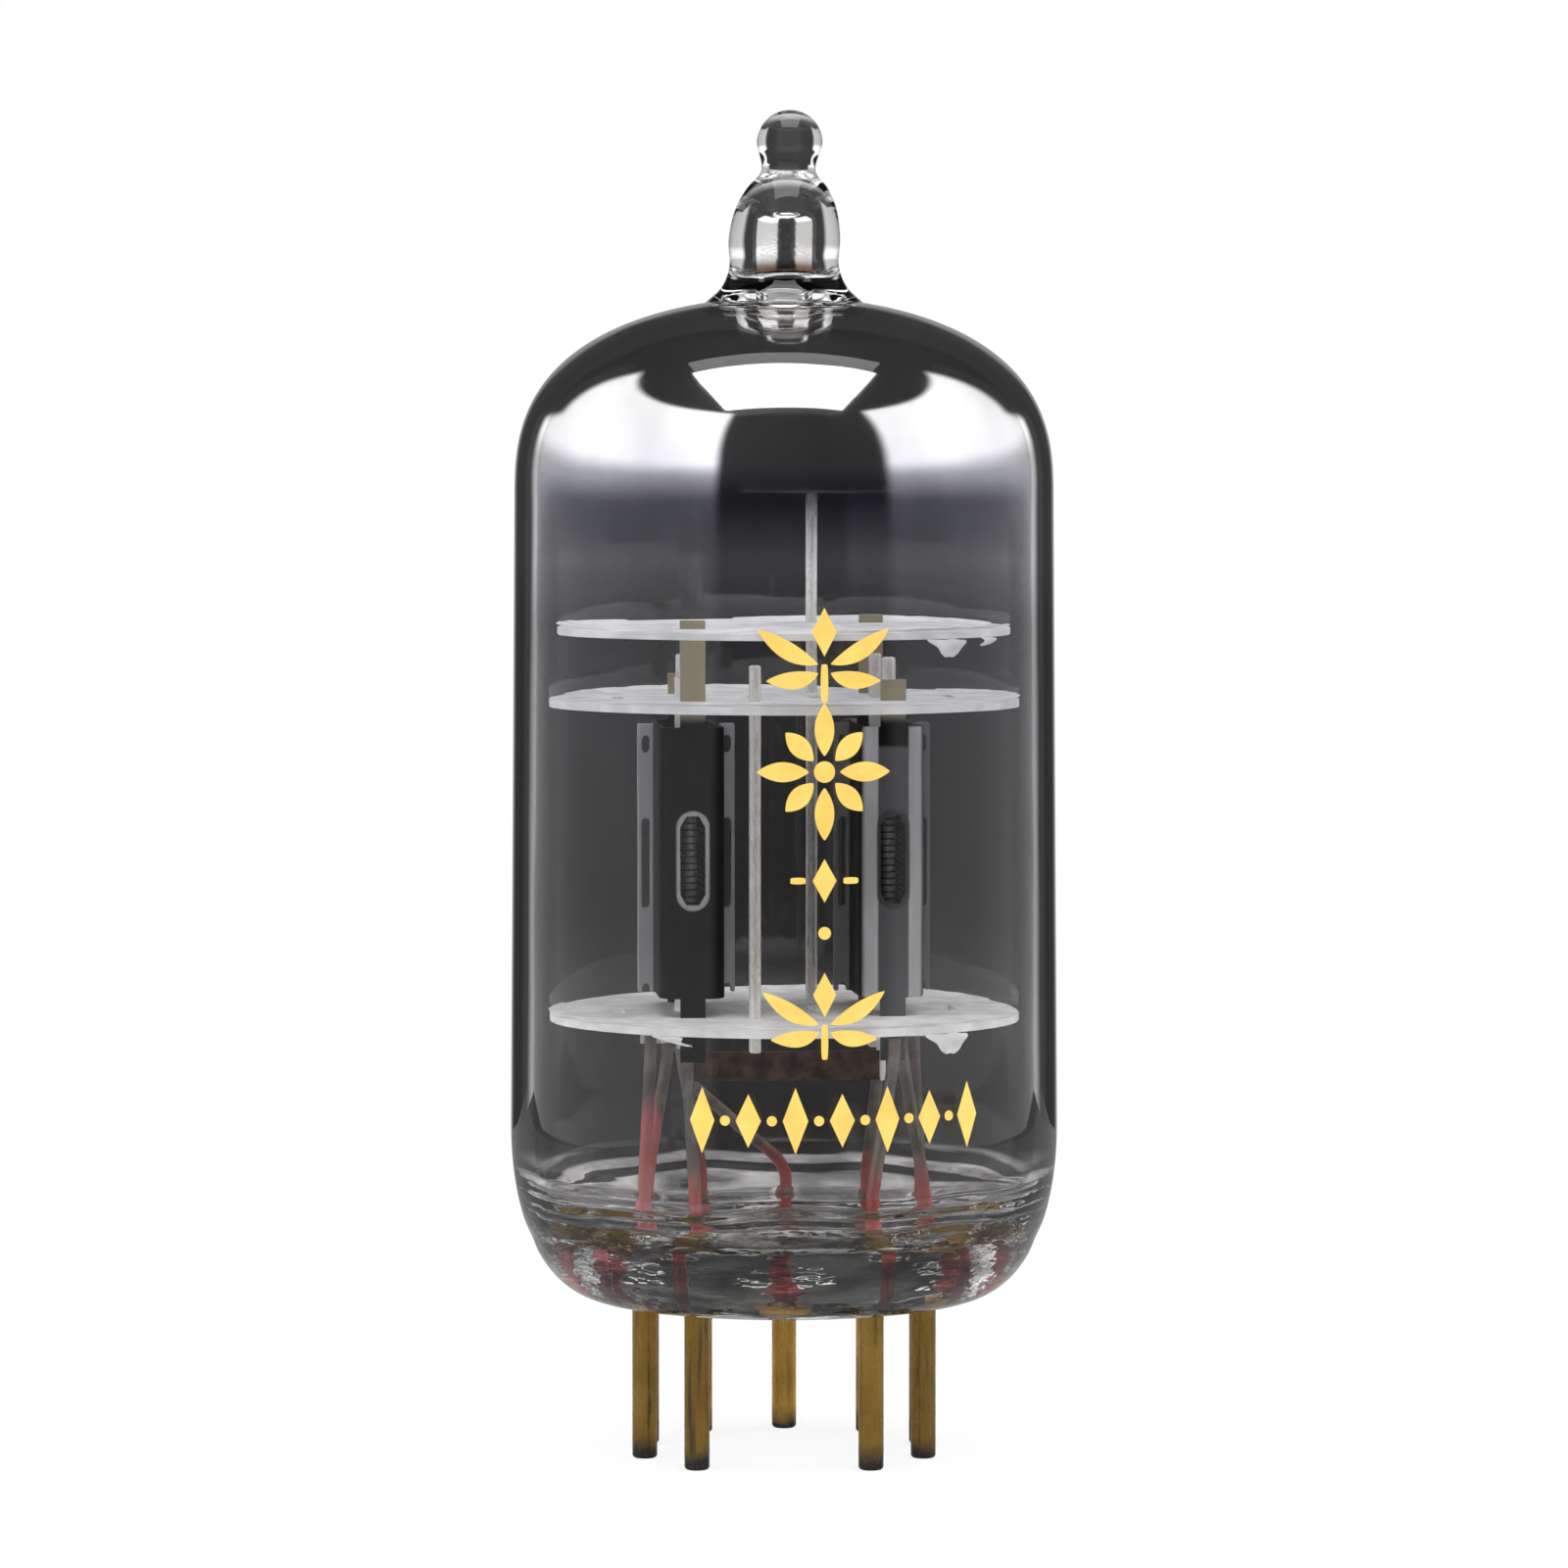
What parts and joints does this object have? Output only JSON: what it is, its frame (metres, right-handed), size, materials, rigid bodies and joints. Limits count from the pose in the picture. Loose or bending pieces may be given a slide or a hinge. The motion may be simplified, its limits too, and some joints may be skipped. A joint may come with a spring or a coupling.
{
  "type": "double triode tube",
  "caption": "Double triode vacuum tube: domed glass bulb with exhaust tip and getter flash, two dark folded anodes between mica discs, glass button stem and thin gold pins.",
  "frame": {"origin": "on the tube's axis at the level of the pin ends, which the tube stands on", "axes": "+Z along the axis, from the pin ends towards the exhaust tip; the wide gap in the pin circle faces -Y; +X to the right seen from that side"},
  "size_m": [0.0222, 0.0222, 0.0546],
  "materials": {
    "glass": "smooth clear glass with a smoky look",
    "flash": "silvery mirror film",
    "gold": "gold plate, worn at the ends",
    "copper": "reddish copper cladding",
    "mica": "whitish, slightly translucent mica",
    "carbon": "dark carbonised nickel sheet",
    "nickel": "bright nickel",
    "grid_wire": "fine drawn wire",
    "oxide": "white oxide coating",
    "ceramic": "white alumina coating",
    "getter_steel": "heat-dulled steel"
  },
  "bodies": {
    "root": {"glass_bulb": "glass", "glass_stem": "glass", "getter_flash": "flash", "pin_1": "gold", "pin_2": "gold", "pin_3": "gold", "pin_4": "gold", "pin_5": "gold", "pin_6": "gold", "pin_7": "gold", "pin_8": "gold", "pin_9": "gold", "lead_1": "copper", "lead_2": "copper", "lead_3": "copper", "lead_4": "copper", "lead_5": "copper", "lead_6": "copper", "lead_7": "copper", "lead_8": "copper", "lead_9": "copper", "mica_lower": "mica", "mica_upper": "mica", "mica_top": "mica", "support_rod": "nickel", "getter_post": "nickel", "getter_ring": "getter_steel", "heater_link": "nickel", "anode_left_front": "carbon", "anode_left_rear": "carbon", "anode_right_front": "carbon", "anode_right_rear": "carbon", "grid_left_rod_front": "nickel", "grid_left_rod_rear": "nickel", "grid_left_winding": "grid_wire", "grid_right_rod_front": "nickel", "grid_right_rod_rear": "nickel", "grid_right_winding": "grid_wire", "cathode_left": "oxide", "cathode_right": "oxide", "cathode_ribbon_left": "nickel", "cathode_ribbon_right": "nickel", "heater_left": "ceramic", "heater_right": "ceramic"}
  },
  "joints": []
}
